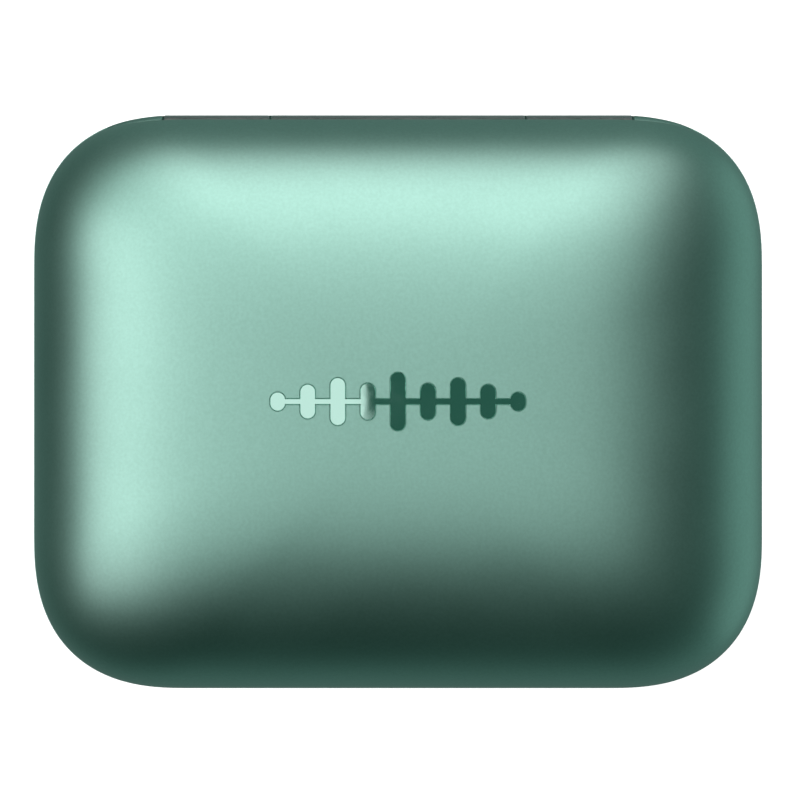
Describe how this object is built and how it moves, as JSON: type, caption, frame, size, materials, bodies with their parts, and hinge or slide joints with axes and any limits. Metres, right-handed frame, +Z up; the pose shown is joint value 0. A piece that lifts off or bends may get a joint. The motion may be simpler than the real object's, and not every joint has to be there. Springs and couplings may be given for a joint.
{
  "type": "wireless earbuds case",
  "caption": "Pebble-shaped clamshell charging case with a sprung lid, magnetic closure, cradle wells for stem earbuds, sprung contacts, port, status light and side button.",
  "frame": {"origin": "centre of the flat underside", "axes": "+Z up through the lid, +X to the side with the pairing button, +Y to the hinge and the port"},
  "size_m": [0.0624, 0.0492, 0.0248],
  "materials": {
    "satin_green": "satin metallic green paint with a fine grain",
    "mirror_mint": "mirror, tinted mint",
    "liner_black": "fine matt texture, near black",
    "hinge_steel": "brushed",
    "magnet_nickel": "nickel plated",
    "board_green": "solder mask over glass laminate",
    "contact_gold": "gold plated",
    "cell_foil": "laminate pouch, satin",
    "foam_grey": "matt foam",
    "chip_black": "moulded, matt",
    "light_clear": "frosted clear",
    "flex_amber": "polyimide film",
    "lead_red": "insulated wire"
  },
  "bodies": {
    "base": {"base_shell": "satin_green", "cradle_tray": "liner_black", "hinge_base_leaf": "hinge_steel", "hinge_pin": "hinge_steel", "hinge_spring": "hinge_steel", "hinge_base_screw_left": "hinge_steel", "hinge_base_screw_right": "hinge_steel", "board_screw_left": "hinge_steel", "board_screw_right": "hinge_steel", "usb_shell": "hinge_steel", "button_switch": "hinge_steel", "base_magnet_left": "magnet_nickel", "base_magnet_right": "magnet_nickel", "head_magnet_left": "magnet_nickel", "head_magnet_right": "magnet_nickel", "stem_magnet_left": "magnet_nickel", "stem_magnet_right": "magnet_nickel", "main_board": "board_green", "indicator_board": "board_green", "button_board": "board_green", "contact_board_left": "board_green", "contact_board_right": "board_green", "contact_barrel_left_front": "contact_gold", "contact_barrel_left_rear": "contact_gold", "contact_barrel_right_front": "contact_gold", "contact_barrel_right_rear": "contact_gold", "contact_spring_left_front": "contact_gold", "contact_spring_left_rear": "contact_gold", "contact_spring_right_front": "contact_gold", "contact_spring_right_rear": "contact_gold", "battery_cell": "cell_foil", "battery_foam_left": "foam_grey", "battery_foam_right": "foam_grey", "power_inductor": "foam_grey", "charge_chip": "chip_black", "control_chip": "chip_black", "lid_sensor": "chip_black", "usb_tongue": "chip_black", "battery_lead_black": "chip_black", "light_pipe": "light_clear", "status_led": "light_clear", "flex_cable": "flex_amber", "battery_lead_red": "lead_red"},
    "lid": {"lid_shell": "satin_green", "lid_liner": "liner_black", "lid_badge": "mirror_mint", "lid_magnet_left": "magnet_nickel", "lid_magnet_right": "magnet_nickel", "hinge_lid_leaf": "hinge_steel", "hinge_lid_screw_left": "hinge_steel", "hinge_lid_screw_right": "hinge_steel"},
    "button": {"button_cap": "satin_green"},
    "switch_stem": {"switch_plunger": "chip_black"},
    "contact_left_front": {"contact_plunger_left_front": "contact_gold"},
    "contact_left_rear": {"contact_plunger_left_rear": "contact_gold"},
    "contact_right_front": {"contact_plunger_right_front": "contact_gold"},
    "contact_right_rear": {"contact_plunger_right_rear": "contact_gold"}
  },
  "joints": [
    {"name": "lid_hinge", "type": "hinge", "parent": "base", "child": "lid", "pos_m": [0, 0.0231, 0.0138], "axis": [-1, 0, 0], "range_deg": [0, 96]},
    {"name": "button_press", "type": "slide", "parent": "base", "child": "button", "axis": [-1, 0, 0], "range_m": [0, 0.00035]},
    {"name": "switch_press", "type": "slide", "parent": "base", "child": "switch_stem", "axis": [-1, 0, 0], "range_m": [0, 0.00035]},
    {"name": "contact_press_left_front", "type": "slide", "parent": "base", "child": "contact_left_front", "axis": [0, 0, -1], "range_m": [0, 0.0007], "deforming": ["contact_spring_left_front"]},
    {"name": "contact_press_left_rear", "type": "slide", "parent": "base", "child": "contact_left_rear", "axis": [0, 0, -1], "range_m": [0, 0.0007], "deforming": ["contact_spring_left_rear"]},
    {"name": "contact_press_right_front", "type": "slide", "parent": "base", "child": "contact_right_front", "axis": [0, 0, -1], "range_m": [0, 0.0007], "deforming": ["contact_spring_right_front"]},
    {"name": "contact_press_right_rear", "type": "slide", "parent": "base", "child": "contact_right_rear", "axis": [0, 0, -1], "range_m": [0, 0.0007], "deforming": ["contact_spring_right_rear"]}
  ],
  "couplings": [
    {"joint": "switch_press", "follows": "button_press", "ratio": 1},
    {"joint": "contact_press_left_rear", "follows": "contact_press_left_front", "ratio": 1},
    {"joint": "contact_press_right_rear", "follows": "contact_press_right_front", "ratio": 1}
  ]
}
